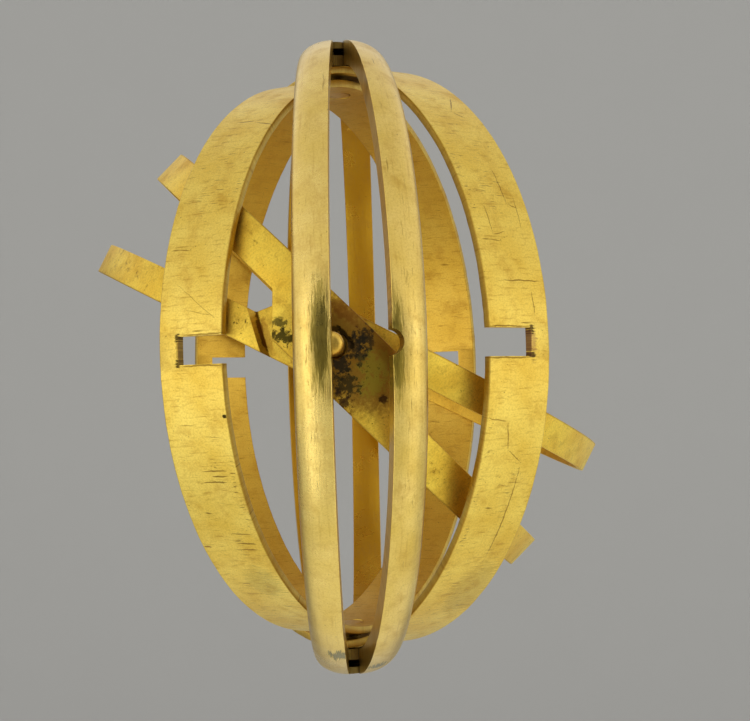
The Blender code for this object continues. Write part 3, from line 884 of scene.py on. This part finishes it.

# %% [markdown]
# The bands were filed across, and the file left short brown strokes. The clearest scratches and stains are
# placed one by one, and so is the painted shade at the poles and round the front notch. The finer file
# marks come from speckled patches, thickest along the edges.

# %% Marks on the wide bands
FILE_BROWN = "#5E4212"
SCRATCH = "#7A5A20"
outer_band_marks = {
    # Painted shade in the gap under the half-round hoops, at the poles.
    SMOOTH: [
        (0.0, 16.6, 1.3, 1.0, 0, "#2E1E0E", 0.85),
        (0.0, -16.6, 1.3, 1.0, 0, "#2E1E0E", 0.85),
    ],
    # Painted shade at the end and the corners of the front notch.
    BROKEN: [
        (0.56, 0.0, 0.13, 0.55, 0, "#8A5E48", 0.5),
        (0.50, 0.40, 0.10, 0.18, 0, "#2A1A10", 0.85),
        (0.50, -0.42, 0.12, 0.16, 0, "#2A1A10", 0.85),
    ],
    SPECKLED: [
        (-1.00, -5.0, 0.35, 6.0, 0, FILE_BROWN, 0.85),
        (-1.00, 6.0, 0.30, 5.0, 0, FILE_BROWN, 0.75),
        (0.0, 5.5, 1.2, 4.5, 0, FILE_BROWN, 0.6),
        (0.2, -5.0, 1.1, 4.0, 0, FILE_BROWN, 0.55),
        (0.4, -10.0, 1.0, 3.0, 0, "#6E6234", 0.6),
    ],
    SOLID: [
        (-0.81, -2.50, 0.47, 0.022, -9, SCRATCH, 0.65),
        (-0.26, -3.05, 0.50, 0.022, -80, SCRATCH, 0.65),
        (0.14, -3.76, 0.40, 0.022, -36, SCRATCH, 0.6),
        (0.37, -5.93, 1.95, 0.024, -92, SCRATCH, 0.7),
        (0.26, 2.00, 0.90, 0.030, 0, SCRATCH, 0.75),
        (0.38, 5.49, 0.73, 0.020, 92, SCRATCH, 0.7),
        (0.63, 4.67, 0.25, 0.020, -22, SCRATCH, 0.7),
        (0.75, 4.40, 0.64, 0.018, 87, SCRATCH, 0.6),
        (-0.52, 4.13, 0.56, 0.018, -88, SCRATCH, 0.7),
        (-0.26, 3.63, 0.25, 0.018, 13, SCRATCH, 0.7),
        (0.48, 9.77, 0.60, 0.030, 62, SCRATCH, 0.75),
        (0.36, 9.00, 0.27, 0.024, -41, SCRATCH, 0.75),
        (0.65, 1.28, 0.42, 0.018, -86, SCRATCH, 0.65),
        (0.5, -9.5, 0.9, 1.6, 0, "#8A6A24", 0.35),
        # Painted shade along the end and the upper and lower edges of the front notch.
        (0.45, 0.0, 0.05, 0.5, 0, "#7A5034", 0.75),
        (-0.4, 0.50, 0.9, 0.03, 0, "#6A4A18", 0.7),
        (-0.4, -0.50, 0.9, 0.03, 0, "#6A4A18", 0.7),
    ],
}
inner_band_marks = {
    # Painted shade at the end and the corners of the front notch.
    BROKEN: [
        (-0.50, 0.0, 0.06, 0.50, 0, "#5A3E18", 0.5),
        (-0.50, 0.42, 0.10, 0.14, 0, "#20140A", 0.85),
        (-0.50, -0.42, 0.10, 0.14, 0, "#20140A", 0.85),
    ],
    SPECKLED: [
        (1.00, -5.0, 0.35, 6.0, 0, FILE_BROWN, 0.8),
        (1.00, 6.0, 0.30, 5.0, 0, FILE_BROWN, 0.75),
        (0.1, 6.0, 1.2, 4.5, 0, FILE_BROWN, 0.6),
        (0.40, -3.9, 0.8, 1.4, 0, FILE_BROWN, 0.7),
        (0.4, -6.8, 0.9, 0.9, 0, FILE_BROWN, 0.7),
        (0.5, -8.7, 0.9, 2.2, 0, "#6E6234", 0.7),
    ],
    SOLID: [
        (0.60, -2.85, 0.30, 0.020, 1, FILE_BROWN, 0.45),
        (-0.35, -2.45, 0.35, 0.020, -1, FILE_BROWN, 0.4),
        (0.35, -4.02, 0.52, 0.024, 2, FILE_BROWN, 0.65),
        (0.50, -4.20, 0.34, 0.034, 0, FILE_BROWN, 0.7),
        (0.25, -4.42, 0.55, 0.030, 1, FILE_BROWN, 0.7),
        (1.12, -2.16, 0.08, 0.07, 0, "#1E160A", 0.95),
        (0.55, -6.45, 0.42, 0.026, -1, FILE_BROWN, 0.6),
        (0.62, -6.88, 0.38, 0.040, 0, FILE_BROWN, 0.65),
        (0.45, -7.15, 0.52, 0.024, 2, FILE_BROWN, 0.6),
        (-1.02, -7.05, 0.16, 0.040, 0, "#7A4A20", 0.7),
        (0.40, -8.90, 0.70, 0.90, 0, "#8A7830", 0.3),
        (0.10, 9.15, 0.42, 0.028, -5, SCRATCH, 0.8),
        (0.85, 8.88, 0.42, 0.028, -22, SCRATCH, 0.8),
        (0.12, 1.63, 1.02, 0.016, -38, SCRATCH, 0.45),
        (0.30, 1.20, 0.52, 0.016, -12, SCRATCH, 0.45),
        # Painted shade along the end and the upper and lower edges of the front notch.
        (-0.45, 0.0, 0.05, 0.5, 0, "#6A4A1C", 0.75),
        (0.4, 0.50, 0.9, 0.03, 0, "#6A4A18", 0.7),
        (0.4, -0.50, 0.9, 0.03, 0, "#6A4A18", 0.7),
    ],
}
print(len(outer_band_marks[SOLID]), "marks outside,", len(inner_band_marks[SOLID]), "inside")

# %% [markdown]
# Both bands get the same recipe with slightly different golds, so that each reads as its own strip.

# %% Build the wide bands
# Rolled gold strip, filed across: bright, with brown file lines and cuts.
filed_outer = worked_gold(
    "filed_strip_gold_outer_band", "#E9CC60", "#DCB84A", ("#CDA038", 0.75), (1.1, 9.0, 0.75), "#A07A2C",
    ("#AE7E28", 0.45), 0.6, 0.34, outer_band_marks,
)
filed_inner = worked_gold(
    "filed_strip_gold_inner_band", "#E9CD64", "#DCB94C", ("#CDA038", 0.75), (1.1, 9.0, 0.8), "#9C762A",
    ("#AE7E28", 0.45), 0.6, 0.34, inner_band_marks,
)
finish_piece(
    wide_band(OUTER_BAND_RADIUS, 1, 3.0), "outer_band", OUTER_BAND_RADIUS, "Z", OUTER_BAND_OPEN,
    "large", "large_band", filed_outer,
)
finish_piece(
    wide_band(INNER_BAND_RADIUS, -1, 8.0), "inner_band", INNER_BAND_RADIUS, "Z", INNER_BAND_OPEN,
    "small", "small_band", filed_inner,
)

# %% [markdown]
# ## The two slim hoops
# The slim hoops turn on the front and back pins, one within the other. Each is cut from flat strip
# with a full-width ear at the front and at the back, and between the ears it is only half as wide:
# one arm keeps to the left half, the other to the right, so the two close side by side. They are made
# the way they were made at the bench. The outline is drawn flat, given its thickness, its edges are
# rounded, and then the strip is rolled up. Both are pressed a little flat on one half, as the old
# ones are.

# %% Flat outline of a slim hoop
EAR_REACH = 1.57 * MM
PRESSED_IN = 0.30 * MM
SLIM_ROUND = 0.03 * MM


def slim_outline(side, arm_edge):
    """Outline as (across, along) points. For side 1 the upper arm lies on the right."""
    length = math.tau * SLIM_RADIUS
    half_back = length / 2
    shoulder = EAR_REACH + HALF_WIDTH + arm_edge
    points = [
        (-HALF_WIDTH, -length / 4),
        (-arm_edge, -length / 4),
        (-arm_edge, -shoulder),
        (HALF_WIDTH, -EAR_REACH),
        (HALF_WIDTH, half_back + EAR_REACH),
        (-arm_edge, half_back + shoulder),
        (-arm_edge, length * 3 / 4),
        (-HALF_WIDTH, length * 3 / 4),
        (-HALF_WIDTH, half_back - EAR_REACH),
        (arm_edge, half_back - shoulder),
        (arm_edge, shoulder),
        (-HALF_WIDTH, EAR_REACH),
    ]
    return [(side * across, along) for across, along in points]


def flat_slab(outline):
    """The strip before rolling: its outline given thickness, open at both ends, its edges rounded."""
    bm = bmesh.new()
    face = bm.faces.new([bm.verts.new((across, along, 0.0)) for across, along in outline])
    raised = bmesh.ops.extrude_face_region(bm, geom=[face])["geom"]
    lifted = [part for part in raised if isinstance(part, bmesh.types.BMVert)]
    bmesh.ops.translate(bm, vec=(0.0, 0.0, -SLIM_THICKNESS), verts=lifted)
    ends = (min(along for _, along in outline), max(along for _, along in outline))
    caps = [f for f in bm.faces if any(all(abs(v.co.y - end) < 1e-9 for v in f.verts) for end in ends)]
    bmesh.ops.delete(bm, geom=caps, context="FACES_ONLY")
    bmesh.ops.recalc_face_normals(bm, faces=bm.faces)
    sharp = [e for e in bm.edges if len(e.link_faces) == 2 and e.calc_face_angle() > 0.5]
    bmesh.ops.bevel(bm, geom=sharp, offset=SLIM_ROUND, segments=2, profile=0.5, affect="EDGES", material=-1)
    return bm


print(len(slim_outline(1, 0.0)), "corners in the outline of a slim hoop")

# %% [markdown]
# Rolling is a vertex move: a point that lies so far along the strip goes to that angle round the
# hoop. First the slab is cut into short lengths, or it would roll into a square. The ears of one
# hoop are joggled, which means stepped inwards, so that they pass under those of the other. The
# joggle's bend lies at 45 degrees across the arm.

# %% Roll a slab into a hoop
JOGGLE_END = EAR_REACH + 0.20 * MM + HALF_WIDTH
JOGGLE_START = JOGGLE_END + 0.25 * MM
ROLL_STEPS = 180
LONG_CUT = 0.7 * MM
EAR_HOLE = 0.44 * MM


def pressed(along):
    """How far the hoop is pressed in, most at the top."""
    return PRESSED_IN * max(math.sin(along / SLIM_RADIUS), 0.0) ** 4


def joggle(across, along):
    """How far a point of the joggled hoop is stepped in, from nothing on the arm to all on the ear."""
    half_back = math.pi * SLIM_RADIUS
    from_ear = min(abs(along - across), abs(along - half_back + across))
    step = min(max((JOGGLE_START - from_ear) / (JOGGLE_START - JOGGLE_END), 0.0), 1.0)
    return (SLIM_RADIUS - JOGGLED_EAR_RADIUS) * step


def roll_up(bm, joggled):
    """Cut a slab into short lengths, roll it into a hoop and drill its ears for the pins."""
    length = math.tau * SLIM_RADIUS
    stations = [-length / 4 + length * step / ROLL_STEPS for step in range(1, ROLL_STEPS)]
    cuts = [((0.0, along, 0.0), (0.0, 1.0, 0.0)) for along in stations]
    cuts += [((across, 0.0, 0.0), (1.0, 0.0, 0.0)) for across in (-LONG_CUT, LONG_CUT)]
    if joggled:
        for centre, slant in ((0.0, -1.0), (length / 2, 1.0)):
            for reach in (-JOGGLE_START, -JOGGLE_END, JOGGLE_END, JOGGLE_START):
                cuts.append(((0.0, centre + reach, 0.0), (slant, 1.0, 0.0)))
    for point, normal in cuts:
        everything = [*bm.verts, *bm.edges, *bm.faces]
        bmesh.ops.bisect_plane(bm, geom=everything, dist=WELD, plane_co=point, plane_no=normal)
    for vert in bm.verts:
        across, along, level = vert.co
        reach = SLIM_RADIUS + level - pressed(along) - (joggle(across, along) if joggled else 0.0)
        angle = along / SLIM_RADIUS
        vert.co = (across, -reach * math.cos(angle), reach * math.sin(angle))
    bmesh.ops.remove_doubles(bm, verts=bm.verts, dist=CUT_WELD)
    bmesh.ops.recalc_face_normals(bm, faces=bm.faces)
    return cut_away(bm, [spin_rod(plain_rod(EAR_HOLE, BEYOND), HOLE_STEPS, along_y=True)])


print(f"joggle bends from {JOGGLE_END / MM:.2f} to {JOGGLE_START / MM:.2f} mm along the arm")

# %% [markdown]
# The ears were never polished, so the front one is brown with tarnish, with dark ragged blotches round the
# pin, a painted shadow crescent just right of it and a rubbed, olive patch beside it. The joggle's bend has
# a painted brown shadow line, and the joggled ear, which lies under the other, is painted brown shade.

# %% Marks on the slim hoops
BLOTCH = "#2B2A24"
TARNISH = "#7E5220"
eared_marks = {
    SMOOTH: [
        (0.20, -0.70, 1.40, 1.90, 0, TARNISH, 0.8),
    ],
    BROKEN: [
        (0.45, -1.40, 0.55, 0.75, 30, "#9C8A2E", 0.75),
        (-0.05, -1.75, 0.45, 0.50, 0, "#9C8A2E", 0.75),
        (0.85, -0.55, 0.45, 0.34, 20, BLOTCH, 0.8),
        (0.45, -0.45, 0.45, 0.40, 20, BLOTCH, 0.8),
        (0.35, -0.88, 0.30, 0.22, 20, BLOTCH, 0.7),
        (-0.30, -0.60, 0.34, 0.40, -25, BLOTCH, 0.9),
        (-0.60, -1.15, 0.40, 0.45, -25, "#33301E", 0.85),
        (-1.05, -1.40, 0.20, 0.40, 0, "#3C2A1E", 0.8),
        (-0.90, 1.34, 0.26, 0.42, 20, "#26240F", 0.9),
        (-0.70, 1.75, 0.18, 0.26, 20, "#3A3618", 0.8),
    ],
    SPECKLED: [
        (0.10, -0.90, 1.3, 2.2, 0, "#3A2E18", 0.8),
        (-0.80, 1.45, 0.5, 0.8, 0, "#3A3018", 0.8),
        (0.6, 6.0, 0.8, 4.0, 0, "#7A5A20", 0.5),
        (-0.6, -5.5, 0.8, 3.0, 0, "#7A5A20", 0.5),
    ],
    SOLID: [
        (1.02, 0.62, 0.24, 0.70, 0, "#7E4A1A", 0.6),
        (0.95, -1.6, 0.26, 0.7, 0, "#8A5A1C", 0.45),
        # Painted shadow: a dark crescent just right of the pin.
        (0.50, -0.04, 0.10, 0.42, 0, "#120E08", 0.9),
        (0.42, 0.32, 0.10, 0.16, 40, "#1E160A", 0.8),
        (0.40, -0.42, 0.10, 0.16, -40, "#1E160A", 0.8),
        (-0.12, -2.31, 0.15, 0.16, 0, "#33201A", 0.85),
    ],
}
joggled_marks = {
    SPECKLED: [
        (-0.62, 3.05, 0.7, 0.9, 0, "#32240E", 0.85),
        (0.6, -5.5, 0.8, 3.0, 0, "#7A5A20", 0.5),
        (-0.6, 9.0, 0.8, 4.0, 0, "#7A5A20", 0.5),
    ],
    SOLID: [
        # Painted shade on the joggled ear, which lies under the other hoop's ear.
        (0.0, 0.0, 1.3, 1.6, 0, "#8E5420", 0.6),
        # Painted shadow in the joggle's bend: a dark brown line and a shaded amber band beside it.
        (-0.62, 2.40, 0.85, 0.06, 45, "#5A3814", 0.85),
        (-0.62, 2.22, 0.70, 0.16, 45, "#9A6420", 0.5),
    ],
}
print(len(eared_marks[BROKEN]), "broken patches on the eared hoop")

# %% [markdown]
# Both slim hoops share one recipe. Only their marks and their outlines differ: the arms of the one reach
# a little over its middle line, and those of the other keep a little clear of it.

# %% Build the slim hoops
EARED_ARM_EDGE = -0.06 * MM
JOGGLED_ARM_EDGE = 0.12 * MM
slim_hoops = (
    ("eared_hoop", eared_marks, 1, EARED_ARM_EDGE, False, EARED_OPEN, "upper", "upper_hoop"),
    ("joggled_hoop", joggled_marks, -1, JOGGLED_ARM_EDGE, True, JOGGLED_OPEN, "lower", "lower_hoop"),
)
for name, marks, side, arm_edge, joggled, degrees, body, node in slim_hoops:
    # Rolled gold strip left as it came from the bench: warm, mottled and finely pitted.
    pitted = worked_gold(
        f"pitted_strip_gold_{name}", "#F0D052", "#E2B83E", ("#CDA038", 0.8),
        (3.0, 3.0, 0.5), "#98702A", ("#A06E20", 0.4), 0.8, 0.40, marks,
    )
    hoop = roll_up(flat_slab(slim_outline(side, arm_edge)), joggled)
    finish_piece(hoop, name, SLIM_RADIUS, "Y", degrees, body, node, pitted)

# %% [markdown]
# ## Rivets and pins
# All four are bits of gold wire. The polar rivets go through both half-round hoops and both bands,
# with a low head outside and a tail spread inside. The equatorial pins are soldered into the edge of
# the fixed hoop, so that half of each stands out beside it, and their tails are hammered over inside
# the slim hoops. Both are profiles spun about their own axis, with rounded ends.

# %% Rivet and pin profiles
RIVET_RADIUS = 0.35 * MM
RIVET_TAIL = 0.50 * MM
HEAD_RADIUS = 0.62 * MM
HEAD_SEAT = 11.90 * MM
HEAD_TOP = 12.10 * MM
HEAD_ROUND = 0.14 * MM
PIN_RADIUS = 0.36 * MM
PIN_END = 11.872 * MM
PIN_TAIL_HEIGHT = 0.20 * MM
PIN_TAIL_ROUND = 0.10 * MM
PIN_TAIL_GAP = 0.05 * MM


def rounded_corner(centre, radius, first, last):
    """Points of a quarter round in a (radius, height) profile, between two angles in degrees."""
    angles = [math.radians(first + (last - first) * step / 5) for step in range(6)]
    return [(centre[0] + radius * math.cos(a), centre[1] + radius * math.sin(a)) for a in angles]


tail = INNER_BAND_RADIUS - BAND_THICKNESS
rivet = [(0.0, tail), (RIVET_TAIL, tail), (RIVET_RADIUS, tail + COUNTERSINK_DEPTH)]
rivet += [(RIVET_RADIUS, HEAD_SEAT), (HEAD_RADIUS, HEAD_SEAT)]
rivet += rounded_corner((HEAD_RADIUS - HEAD_ROUND, HEAD_TOP - HEAD_ROUND), HEAD_ROUND, 0, 90)
rivet += [(0.0, HEAD_TOP)]
bore = JOGGLED_EAR_RADIUS - SLIM_THICKNESS
tail_top = math.sqrt(bore**2 - HEAD_RADIUS**2) - PIN_TAIL_GAP
pin = [(0.0, tail_top - PIN_TAIL_HEIGHT)]
pin += rounded_corner((HEAD_RADIUS - PIN_TAIL_ROUND, tail_top - PIN_TAIL_ROUND), PIN_TAIL_ROUND, -90, 0)
pin += [(HEAD_RADIUS, tail_top), (PIN_RADIUS, tail_top)]
pin += [(PIN_RADIUS, PIN_END), (0.0, PIN_END)]
print(f"rivets {(HEAD_TOP - tail) / MM:.2f} mm long, pins {(PIN_END - tail_top) / MM:.2f} mm over the tail")

# %% [markdown]
# A pin's end was filed over by hand on the side that stands clear of the fixed hoop, so only that half of
# its rim is rounded.

# %% Turn the rivets and pins
WIRE_STEPS = 64
FREE_ROUND = 0.16 * MM
RIM_ANGLE = 1.0
END_ZONE = 11.86 * MM
CLEAR_OF_HOOP = 0.02 * MM
# Gold wire, hammered over at its ends: small, bright and browned in the hollows.
peened_wire = worked_gold(
    "peened_wire_gold", "#E6C25C", "#D0A03C", ("#D0A03C", 0.5), (3.0, 3.0, 0.4), "#8A6420",
    ("#8E5E1A", 0.5), 0.6, 0.28, {},
)


def free_end(middle):
    """True on the rim of a pin's end where it stands clear of the fixed hoop."""
    free_side = -math.copysign(1.0, middle.y)
    return abs(middle.y) > END_ZONE and middle.x * free_side > CLEAR_OF_HOOP


wires = (
    ("top_pole_rivet", "top_rivet", rivet, False, False),
    ("bottom_pole_rivet", "bottom_rivet", rivet, True, False),
    ("front_axis_pin", "front_pin", pin, False, True),
    ("back_axis_pin", "back_pin", pin, True, True),
)
for name, node, profile, turn_over, along_y in wires:
    turned = spin_rod(profile, WIRE_STEPS, turn_over, along_y)
    if along_y:
        soften(turned, FREE_ROUND, RIM_ANGLE, free_end)
    finish_piece(turned, name, RING_RADIUS, "Z", 0.0, "frame", node, peened_wire)
